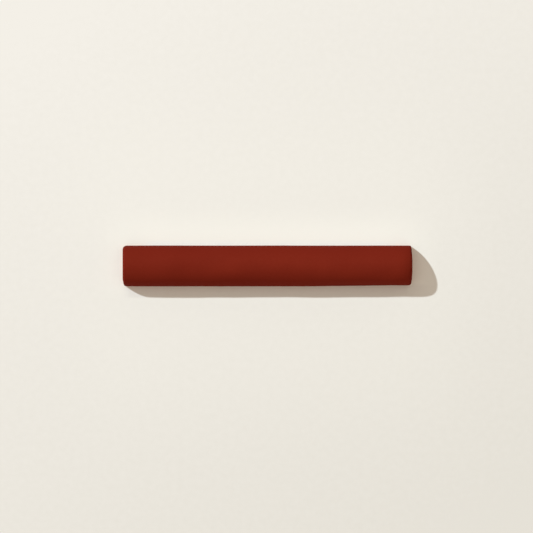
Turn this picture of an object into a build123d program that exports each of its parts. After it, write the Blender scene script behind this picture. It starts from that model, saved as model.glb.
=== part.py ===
from build123d import *
import math
import os

# Half-round trim tile: one fired clay bar with a crowned glazed face and a flat keyed back.
# The origin is the centre of the back, which lies on the floor. X runs along the length
# and Z goes up through the crest of the crown. Sizes are in millimetres, angles in degrees.

os.makedirs("parts", exist_ok=True)

# Face, six inches long nominally
LENGTH = 150.0
WIDTH = 21.2

# Section: low upright sides that run into a crown close to a half circle
SIDE_HEIGHT = 2.5
CROWN_RISE = 9.5

# Left end: leans in as it rises and is softly rolled
LEFT_LEAN = 3.5
LEFT_ROLL = 2.0

# Right end: the crown dips over its last stretch to an upright end with a crisper roll
DIP = 2.0
DIP_RUN = 10.0
DIP_STEPS = 4
RIGHT_ROLL = 1.1

# Back: eased all round, with shallow keys for the adhesive that stop short of the ends
BACK_EASE = 0.9
KEY_COUNT = 2
KEY_WIDTH = 3.0
KEY_DEPTH = 0.8
KEY_SPACING = 8.0
KEY_END_LAND = 10.0
KEY_DRAFT = 20.0

# Sizes that follow
HALF_WIDTH = WIDTH / 2
HALF_LENGTH = LENGTH / 2
DIP_START = HALF_LENGTH - DIP_RUN
KEY_LENGTH = LENGTH - 2 * KEY_END_LAND


def d_section(run):
    """The D section across the tile at a share of the dip's run, its crown lowered to suit."""
    rise = CROWN_RISE - DIP * run**3
    with BuildSketch(Plane.YZ.offset(DIP_START + DIP_RUN * run)) as section:
        with BuildLine():
            Polyline(
                (-HALF_WIDTH, SIDE_HEIGHT),
                (-HALF_WIDTH, 0),
                (HALF_WIDTH, 0),
                (HALF_WIDTH, SIDE_HEIGHT),
            )
            EllipticalCenterArc((0, SIDE_HEIGHT), HALF_WIDTH, rise, start_angle=0, arc_size=180)
        make_face()
    return section.sketch


def roll_edges(end_face):
    """Edges of an end face that take the roll: all but the one along the back."""
    return end_face.edges().sort_by(Axis.Z)[1:]


# Sections from the start of the dip to the right end, and the plane of the left end,
# which leans about its foot
dip_sections = [d_section(i / DIP_STEPS) for i in range(DIP_STEPS + 1)]
lean = math.radians(LEFT_LEAN)
left_end = Plane(
    origin=(-HALF_LENGTH, 0, 0),
    x_dir=(0, 1, 0),
    z_dir=(math.cos(lean), 0, -math.sin(lean)),
)

with BuildPart() as tile:
    # The straight run and the dip
    extrude(dip_sections[0], amount=DIP_START + HALF_LENGTH, dir=(-1, 0, 0))
    loft(dip_sections)

    # The ends: the left one cut to its lean, then both rolled
    split(bisect_by=left_end, keep=Keep.TOP)
    fillet(roll_edges(tile.faces().sort_by(Axis.X)[0]), LEFT_ROLL)
    fillet(roll_edges(tile.faces().sort_by(Axis.X)[-1]), RIGHT_ROLL)

    # The eased rim of the back
    fillet(tile.faces().sort_by(Axis.Z)[0].edges(), BACK_EASE)

    # The keys pressed into the back
    with BuildSketch(Plane.XY):
        with GridLocations(0, KEY_SPACING, 1, KEY_COUNT):
            SlotOverall(KEY_LENGTH, KEY_WIDTH)
    extrude(amount=KEY_DEPTH, taper=KEY_DRAFT, mode=Mode.SUBTRACT)

tile.part.label = "trim_tile"
export_step(tile.part, "parts/trim_tile.step")
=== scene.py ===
import bpy
import math
import numpy as np
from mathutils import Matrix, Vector, noise


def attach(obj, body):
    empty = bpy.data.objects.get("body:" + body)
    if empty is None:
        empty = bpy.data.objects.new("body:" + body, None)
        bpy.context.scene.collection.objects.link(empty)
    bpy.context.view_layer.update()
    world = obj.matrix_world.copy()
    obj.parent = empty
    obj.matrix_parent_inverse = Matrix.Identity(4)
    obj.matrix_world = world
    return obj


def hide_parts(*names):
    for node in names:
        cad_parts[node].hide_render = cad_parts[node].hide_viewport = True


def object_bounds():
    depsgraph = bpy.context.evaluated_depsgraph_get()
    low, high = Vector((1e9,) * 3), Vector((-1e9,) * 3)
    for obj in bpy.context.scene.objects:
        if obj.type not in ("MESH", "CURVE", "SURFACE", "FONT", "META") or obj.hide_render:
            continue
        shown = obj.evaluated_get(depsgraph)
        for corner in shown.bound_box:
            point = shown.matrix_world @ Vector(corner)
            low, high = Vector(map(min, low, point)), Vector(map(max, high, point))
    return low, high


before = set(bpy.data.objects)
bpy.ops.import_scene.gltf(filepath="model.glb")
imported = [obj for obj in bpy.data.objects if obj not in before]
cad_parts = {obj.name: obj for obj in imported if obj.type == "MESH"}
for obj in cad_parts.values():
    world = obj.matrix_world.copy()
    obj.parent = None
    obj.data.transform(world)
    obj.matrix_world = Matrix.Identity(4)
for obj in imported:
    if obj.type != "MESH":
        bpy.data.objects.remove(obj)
cad_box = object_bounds()

MM = 0.001

# Sizes of the tile in millimetres, the same as in the part's source

LENGTH = 150.0
WIDTH = 21.2
SIDE_HEIGHT = 2.5
CROWN_RISE = 9.5
HALF_LENGTH = LENGTH / 2
HALF_WIDTH = WIDTH / 2

BACK_EASE = 0.9
KEY_OFFSET = 4.0
KEY_HALF_WIDTH = 1.5
KEY_DEPTH = 0.8
KEY_DRAFT = math.tan(math.radians(20.0))
KEY_HALF_RUN = HALF_LENGTH - 10.0 - KEY_HALF_WIDTH

# From here on the sizes in millimetres are the scene's own. The keys are rounded inside
# and at their rims.

KEY_FILLET = 0.25
KEY_RIM = 0.3

# Ends: the left one leans in and is softly rolled, but firmer at its front foot. At the
# right one the crown dips and the arris is crisper, but softer in front. Each roll is
# given at the foot and at the crest, and starts to change at ROLL_START.

LEFT_LEAN = math.tan(math.radians(3.5))
LEFT_ROLL = (2.2, 1.5)
LEFT_FIRMER = 1.1
DIP = 2.0
DIP_RUN = 10.0
RIGHT_ROLL = (0.7, 1.2)
RIGHT_SOFTER = 0.7
ROLL_START = 0.6 * SIDE_HEIGHT

# Seen from above, the left end sweeps back at its front corner, the right end bows out
# towards its middle, and the front edge draws in a little towards the right

SWEEP = 0.75
SWEEP_RUN = HALF_WIDTH / 3
SWEEP_START = 1.9 * SWEEP_RUN
BOW = 0.4
TAPER = 0.5
TAPER_START = 10.0

# Waviness: how deep the long swells and the short ripples are, how long, and their seeds

SWELL_DEPTH = 0.4
SWELL_LENGTH = 17.0
SWELL_SEED = 665
RIPPLE_DEPTH = 0.015
RIPPLE_LENGTH = 6.0
RIPPLE_SEED = 2

# Net: its cell in metres, the curvature per millimetre at which an arris starts, and how
# much more makes it complete

NET_CELL = 0.00036
ARRIS_START = 0.22
ARRIS_RANGE = 0.35

# Form


def smooth(t):
    t = np.clip(t, 0.0, 1.0)
    return t * t * (3.0 - 2.0 * t)


def round_corner(a, b, r):
    """Inside of both a and b, with the edge between them rounded to radius r."""
    u = np.maximum(a + r, 0.0)
    v = np.maximum(b + r, 0.0)
    return np.minimum(-r, np.maximum(a, b)) + np.hypot(u, v)


def section(x, y, z):
    """Signed distance to the sides and the crown."""
    front = HALF_WIDTH - TAPER * smooth((x - TAPER_START) / (HALF_LENGTH - TAPER_START))
    a = np.where(y < 0.0, front, HALF_WIDTH)
    b = CROWN_RISE - DIP * np.clip((x - HALF_LENGTH + DIP_RUN) / DIP_RUN, 0.0, 1.1) ** 3
    up = np.maximum(z - SIDE_HEIGHT, 0.0)
    k0 = np.hypot(y / a, up / b)
    k1 = np.hypot(y / a**2, up / b**2)
    return k0 * (k0 - 1.0) / np.maximum(k1, 1e-9)


def keys(x, y, z):
    """Signed distance to the drafted sides of the nearer of the two keys in the back."""
    along = np.maximum(np.abs(x) - KEY_HALF_RUN, 0.0)
    across = np.abs(y) - KEY_OFFSET
    return np.hypot(along, across) - KEY_HALF_WIDTH + z * KEY_DRAFT


def roll(foot, crest, climb):
    """Radius of an end's roll, between the one at the foot and the one at the crest."""
    return foot + (crest - foot) * climb


def form(p):
    """Signed distance to the tile's surface, negative inside, in millimetres."""
    x, y, z = p.T
    climb = smooth((z - ROLL_START) / CROWN_RISE) ** 0.7
    front = smooth(-y / HALF_WIDTH)
    left = roll(*LEFT_ROLL, climb) - LEFT_FIRMER * front * (1.0 - climb)
    right = roll(*RIGHT_ROLL, climb) + RIGHT_SOFTER * front
    sweep = SWEEP * np.clip((-y - SWEEP_START) / SWEEP_RUN, 0.0, 1.3) ** 1.2
    bow = BOW * (y / HALF_WIDTH) ** 2

    d = section(x, y, z)
    d = round_corner(d, z * LEFT_LEAN - x - HALF_LENGTH + sweep, left)
    d = round_corner(d, x - HALF_LENGTH + bow, right)
    d = round_corner(d, -z, BACK_EASE)
    key = round_corner(keys(x, y, z), z - KEY_DEPTH, KEY_FILLET)
    return round_corner(d, -key, KEY_RIM)


def gradient(p, size=0.02):
    g = np.empty_like(p)
    for i, step in enumerate(np.eye(3) * size):
        g[:, i] = (form(p + step) - form(p - step)) / (2 * size)
    return g


def sharpness(p, size=0.3):
    """Sum of the two main curvatures: low on the crown, high on the rolled arrises."""
    total = -6.0 * form(p)
    for step in np.eye(3) * size:
        total += form(p + step) + form(p - step)
    return total / size**2


def settle(p, rounds=8, longest=0.4):
    """Moves points onto the surface, each by no more than about this far in a round."""
    for _ in range(rounds):
        g = gradient(p)
        length = np.maximum((g * g).sum(1), 0.2)
        p = p - g * (np.clip(form(p), -longest, longest) / length)[:, None]
    return p


def wave(p, size, seed):
    """Smooth noise between 0 and 1, longer along the tile than across it."""
    shift = Vector((seed * 7.3, seed * 3.1, seed * 5.7))
    value = [noise.noise(Vector(q) + shift) for q in p / size * (1.0, 1.6, 1.6)]
    return np.clip(np.array(value) * 0.5 + 0.5, 0.0, 1.0)


def waviness(p, normal):
    """How far each point is sunk, least near the back and on the ends."""
    swell = np.maximum(wave(p, SWELL_LENGTH, SWELL_SEED) - 0.2, 0.0)
    ripple = wave(p, RIPPLE_LENGTH, RIPPLE_SEED)
    # A fifth of it sets in over the lowest 1.2 mm, the rest between 1.5 and 6.5 mm up
    off_back = 0.2 * smooth(p[:, 2] / 1.2) + 0.8 * smooth((p[:, 2] - 1.5) / 5.0)
    off_ends = 1.0 - 0.85 * normal[:, 0] ** 2
    return (SWELL_DEPTH * swell + RIPPLE_DEPTH * ripple) * off_back * off_ends


# The tile: the CAD solid's mesh remade as an even net, settled onto the form above and
# then given the slight waviness of a tile pressed and dressed by hand

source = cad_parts["trim_tile"]
tile = bpy.data.objects.new("tile_body", source.data.copy())
bpy.context.collection.objects.link(tile)
tile.matrix_world = source.matrix_world

bpy.context.view_layer.update()
net = tile.modifiers.new("net", "REMESH")
net.mode = "VOXEL"
net.voxel_size = NET_CELL
graph = bpy.context.evaluated_depsgraph_get()
mesh = bpy.data.meshes.new_from_object(tile.evaluated_get(graph))
tile.modifiers.clear()
tile.data = mesh

points = np.empty(len(mesh.vertices) * 3)
mesh.vertices.foreach_get("co", points)
points = settle(points.reshape(-1, 3) / MM)

arris = smooth((sharpness(points) - ARRIS_START) / ARRIS_RANGE)
normal = gradient(points)
normal /= np.maximum(np.linalg.norm(normal, axis=1), 1e-9)[:, None]
points -= normal * waviness(points, normal)[:, None]
lowest, highest = (np.array(corner) / MM for corner in cad_box)
points = np.clip(points, lowest, highest)

mesh.vertices.foreach_set("co", (points * MM).ravel())
mesh.polygons.foreach_set("use_smooth", [True] * len(mesh.polygons))
mesh.attributes.new("arris", "FLOAT", "POINT").data.foreach_set("value", arris)
mesh.update()

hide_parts("trim_tile")
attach(tile, "root")

# Materials


class Material:
    """A procedural material, with short ways to add the nodes that it takes."""

    def __init__(self, name):
        self.data = bpy.data.materials.new(name)
        self.data.use_nodes = True
        self.nodes = self.data.node_tree.nodes
        self.shader = self.nodes["Principled BSDF"].inputs
        self.place = self.nodes.new("ShaderNodeTexCoord").outputs["Object"]
        split = self.nodes.new("ShaderNodeSeparateXYZ")
        self.plug(self.place, split.inputs["Vector"])
        self.x, self.y, self.z = split.outputs

    def plug(self, value, socket):
        """Links the output of a node to a socket, or sets the socket to a plain value."""
        if isinstance(value, bpy.types.NodeSocket):
            self.data.node_tree.links.new(value, socket)
        else:
            socket.default_value = value

    def mapped(self, scale, shift=(0.0, 0.0, 0.0)):
        n = self.nodes.new("ShaderNodeMapping")
        n.inputs["Scale"].default_value = scale
        n.inputs["Location"].default_value = shift
        self.plug(self.place, n.inputs["Vector"])
        return n.outputs["Vector"]

    def attribute(self, name):
        n = self.nodes.new("ShaderNodeAttribute")
        n.attribute_name = name
        return n.outputs["Fac"]

    def noise(self, scale, detail=3.0, roughness=0.5, place=None):
        n = self.nodes.new("ShaderNodeTexNoise")
        n.inputs["Scale"].default_value = scale
        n.inputs["Detail"].default_value = detail
        n.inputs["Roughness"].default_value = roughness
        self.plug(self.place if place is None else place, n.inputs["Vector"])
        return n.outputs["Fac"]

    def ramp(self, value, low, high, to_low=0.0, to_high=1.0, kind="SMOOTHSTEP"):
        n = self.nodes.new("ShaderNodeMapRange")
        n.interpolation_type = kind
        n.inputs["From Min"].default_value = low
        n.inputs["From Max"].default_value = high
        n.inputs["To Min"].default_value = to_low
        n.inputs["To Max"].default_value = to_high
        self.plug(value, n.inputs["Value"])
        return n.outputs["Result"]

    def blend(self, factor, a, b):
        """Mixes two colours, each either a socket or three plain values."""
        n = self.nodes.new("ShaderNodeMix")
        n.data_type = "RGBA"
        self.plug(factor, n.inputs[0])
        for colour, socket in ((a, n.inputs[6]), (b, n.inputs[7])):
            self.plug((*colour, 1.0) if isinstance(colour, tuple) else colour, socket)
        return n.outputs[2]

    def calc(self, operation, a, b=0.0):
        n = self.nodes.new("ShaderNodeMath")
        n.operation = operation
        self.plug(a, n.inputs[0])
        self.plug(b, n.inputs[1])
        return n.outputs[0]

    def product(self, value, *factors):
        for factor in factors:
            value = self.calc("MULTIPLY", value, factor)
        return value

    def rest(self, share):
        return self.calc("SUBTRACT", 1.0, share)


# The tile's glaze and clay

GLAZE_THICK = (0.184, 0.0172, 0.0076)
GLAZE_THIN = (0.202, 0.0194, 0.0084)
GLAZE_SPECK = (0.16, 0.011, 0.004)
GLAZE_POOLED_AND_SHADED = (0.13, 0.0082, 0.003)
GLAZE_BURNT_AND_SHADED = (0.138, 0.0102, 0.0045)
CLAY_DARK = (0.4, 0.158, 0.082)
CLAY_LIGHT = (0.48, 0.205, 0.112)
CLAY_BURNT = (0.3, 0.105, 0.052)

# Places in metres: the heights over which the glaze darkens less and less, partly pooled
# glaze and partly painted shade, how far back the painted shade on the half towards the
# lamp grows, the heights over which the glaze starts, how far that line wanders, and half
# the length, half the width and the height of a box that holds the keys

POOL_AND_SHADE_HEIGHTS = (0.003, 0.0115)
PAINTED_SHADE_REAR = (0.001, 0.009)
LINE_HEIGHTS = (0.00035, 0.0005)
LINE_WANDER = 0.0009
KEY_BOX = (0.07, 0.008, 0.002)

# Relief in metres, and the height in the noise at which the swells are taken

SWELL_RELIEF = -0.001
SWELL_SLICE = 6.42
PEEL_RELIEF = 0.00001
GRIT_RELIEF = 0.00006

glazed = Material("glazed_clay")
lengthwise = glazed.mapped((0.35, 1.0, 1.0))

# Glaze: deep oxblood, in soft clouds where it lies thicker or thinner. It is a little darker
# low on the crown, partly where it has run and pooled and partly as painted shade, and
# darker on the half of the crown towards the lamp, which is painted shade
clouds = glazed.noise(60.0, 2.0, place=lengthwise)
glaze = glazed.blend(glazed.ramp(clouds, 0.32, 0.68), GLAZE_THICK, GLAZE_THIN)
specks = glazed.noise(900.0, 4.0, 0.6)
glaze = glazed.blend(glazed.ramp(specks, 0.3, 0.7, 0.0, 0.2), glaze, GLAZE_SPECK)
pooled_and_shaded_low = glazed.ramp(glazed.z, *POOL_AND_SHADE_HEIGHTS, 0.5, 0.0)
painted_shade_rear = glazed.ramp(glazed.y, *PAINTED_SHADE_REAR, 0.0, 0.34)
glaze = glazed.blend(glazed.calc("ADD", pooled_and_shaded_low, painted_shade_rear), glaze, GLAZE_POOLED_AND_SHADED)

# It thins unevenly on the arrises and is darker there, partly burnt glaze and partly painted
# shade
patches = glazed.ramp(glazed.noise(350.0), 0.35, 0.65, 0.2, 0.6)
glaze = glazed.blend(glazed.product(glazed.attribute("arris"), patches), glaze, GLAZE_BURNT_AND_SHADED)

# Bare clay on the back, in its keys and up to an uneven line just above it
grain = glazed.noise(1500.0, 5.0, 0.6)
clay = glazed.blend(glazed.ramp(grain, 0.35, 0.65), CLAY_DARK, CLAY_LIGHT)
fire_marks = glazed.noise(110.0, place=lengthwise)
clay = glazed.blend(glazed.ramp(fire_marks, 0.4, 0.75, 0.0, 0.3), clay, CLAY_BURNT)
wander = glazed.product(glazed.noise(260.0, place=lengthwise), LINE_WANDER)
above_line = glazed.ramp(glazed.calc("SUBTRACT", glazed.z, wander), *LINE_HEIGHTS)
off_keys = 0.0
for coordinate, limit in zip((glazed.x, glazed.y, glazed.z), KEY_BOX):
    beyond = glazed.calc("GREATER_THAN", glazed.calc("ABSOLUTE", coordinate), limit)
    off_keys = glazed.calc("MAXIMUM", off_keys, beyond)
covered = glazed.product(above_line, off_keys)
bare = glazed.rest(covered)
glazed.plug(glazed.blend(covered, clay, glaze), glazed.shader["Base Color"])

# Matt satin glaze over dry clay
satin = glazed.ramp(glazed.noise(140.0), 0.3, 0.7, 0.6, 0.68)
glazed.plug(glazed.calc("ADD", glazed.product(bare, 0.2), satin), glazed.shader["Roughness"])
glazed.plug(0.02, glazed.shader["Specular IOR Level"])

# Bump: long shallow swells in the glaze, the finest orange peel over them, grit on the
# clay
plan = glazed.mapped((1.0, 1.0, 0.0), (0.0, 0.0, SWELL_SLICE))
swells = glazed.product(glazed.noise(45.0, 1.0, place=plan), SWELL_RELIEF)
peel = glazed.product(glazed.noise(1100.0, 2.0), PEEL_RELIEF)
grit = glazed.product(glazed.noise(2600.0, 6.0, 0.7), GRIT_RELIEF, bare)
relief = glazed.calc("ADD", glazed.calc("ADD", peel, grit), swells)
bump = glazed.nodes.new("ShaderNodeBump")
bump.inputs["Distance"].default_value = 1.0
bump.inputs["Strength"].default_value = 1.0
glazed.plug(relief, bump.inputs["Height"])
glazed.plug(bump.outputs["Normal"], glazed.shader["Normal"])

mesh.materials.clear()
mesh.materials.append(glazed.data)

# Floor: a warm white sheet, faintly mottled, with a painted falloff of light that darkens it
# slightly away from the lamp

FLOOR_SIZE = 6.0
FLOOR_GAP = 0.00002
SHEET_LIT = (0.905, 0.87, 0.8)
SHEET_PAINTED_FAR = (0.79, 0.755, 0.68)
SHEET_PAINTED_GLOW = (1.0, 0.972, 0.868)
SHEET_PAINTED_GLOW_NEAREST = (0.98, 1.0, 0.93)

bpy.ops.mesh.primitive_plane_add(size=FLOOR_SIZE, location=(0, 0, -FLOOR_GAP))
floor = bpy.context.object
floor.name = "floor"
paper = Material("paper")
away = paper.calc("SUBTRACT", paper.product(paper.x, 0.6), paper.y)
away = paper.calc("ADD", away, paper.product(paper.noise(300.0, 4.0), 0.14))
painted_falloff = paper.ramp(away, -0.12, 0.26, kind="LINEAR")
tone = paper.blend(painted_falloff, SHEET_LIT, SHEET_PAINTED_FAR)


def fade(coordinate, start, end):
    """Falls from 1 to 0 between these distances from the middle, on either side."""
    return paper.ramp(paper.calc("ABSOLUTE", coordinate), start, end, 1.0, 0.0)


# Painted light: both glows are light painted into the sheet's colour around the tile, where
# its own shade and red bounce would darken it. The strip of shade keeps them out of the cast
# shadow along the front.
# The sheet is lighter close to the tile, as it is in the photo, least at the corners and
# not in the strip of shade along the front. A broad faint glow reaches farther out. Both
# are weaker in front.

END = HALF_LENGTH * MM
EDGE = HALF_WIDTH * MM
NEAR_END = 0.018
NEAR_EDGE = 0.024
NEAR_FRONT = (-0.022, -0.006)
BROAD_X = (0.06, 0.13)
BROAD_Y = (0.005, 0.12)
BROAD_FRONT = (-0.03, 0.03)
SHADE_TOP = (-0.011, -0.0085)
SHADE_BOTTOM = (-0.0172, -0.0158)
SHADE_LEFT = (-0.076, -0.07)
SHADE_RIGHT = (0.076, 0.09)

shade = paper.product(
    paper.ramp(paper.y, *SHADE_TOP, 1.0, 0.0),
    paper.ramp(paper.y, *SHADE_BOTTOM),
    paper.ramp(paper.x, *SHADE_LEFT),
    paper.ramp(paper.x, *SHADE_RIGHT, 1.0, 0.0),
)
painted_glow_near = paper.product(
    fade(paper.x, END - NEAR_END, END + NEAR_END),
    fade(paper.y, EDGE - NEAR_EDGE, EDGE + NEAR_EDGE),
    paper.rest(shade),
    paper.ramp(paper.y, *NEAR_FRONT, 0.3, 2.4),
)
painted_glow_broad = paper.product(
    fade(paper.x, *BROAD_X),
    fade(paper.y, *BROAD_Y),
    paper.ramp(paper.y, *BROAD_FRONT, 0.18, 0.26),
    paper.rest(shade),
)
tone = paper.blend(painted_glow_broad, tone, SHEET_PAINTED_GLOW)
tone = paper.blend(painted_glow_near, tone, SHEET_PAINTED_GLOW)
tone = paper.blend(paper.ramp(painted_glow_near, 0.95, 1.2), tone, SHEET_PAINTED_GLOW_NEAREST)
paper.plug(tone, paper.shader["Base Color"])
paper.plug(0.9, paper.shader["Roughness"])
paper.plug(0.0, paper.shader["Specular IOR Level"])
floor.data.materials.append(paper.data)

# Light: one small lamp up and to the left, and an even sky, which together bring a level
# surface to 1 in each colour. For each unit of height a shadow falls this far across to
# the right and this far down to the front. The lamp's spread is in degrees.

SKY = (0.57, 0.505, 0.445)
ACROSS = 1.4
DOWN = 0.985
LAMP_SPREAD = 1.6

toward = Vector((-ACROSS, DOWN, 1.0))
sun = bpy.data.lights.new("key", "SUN")
direct = [1.0 - c for c in SKY]
sun.color = [c / max(direct) for c in direct]
sun.energy = max(direct) * math.pi * toward.length
sun.angle = math.radians(LAMP_SPREAD)
lamp = bpy.data.objects.new("key", sun)
lamp.rotation_euler = toward.to_track_quat("Z", "Y").to_euler()
bpy.context.collection.objects.link(lamp)

world = bpy.data.worlds.new("studio")
bpy.context.scene.world = world
world.use_nodes = True
sky = world.node_tree.nodes["Background"].inputs
sky["Color"].default_value = (*SKY, 1.0)
sky["Strength"].default_value = 1.0

# Camera: straight above, from an arm's length and more, and a hair left of and in front
# of the tile's middle

VIEW_WIDTH = 0.2767
DISTANCE = 1.2
OFF_MIDDLE = (-0.00028, -0.00029)
SENSOR = 36.0

camera = bpy.data.cameras.new("camera")
camera.sensor_width = SENSOR
camera.lens = SENSOR * DISTANCE / VIEW_WIDTH
camera.clip_start = 0.01
eye = bpy.data.objects.new("camera", camera)
eye.location = (*OFF_MIDDLE, DISTANCE)
bpy.context.collection.objects.link(eye)
bpy.context.scene.camera = eye
bpy.context.scene.view_settings.view_transform = "Standard"
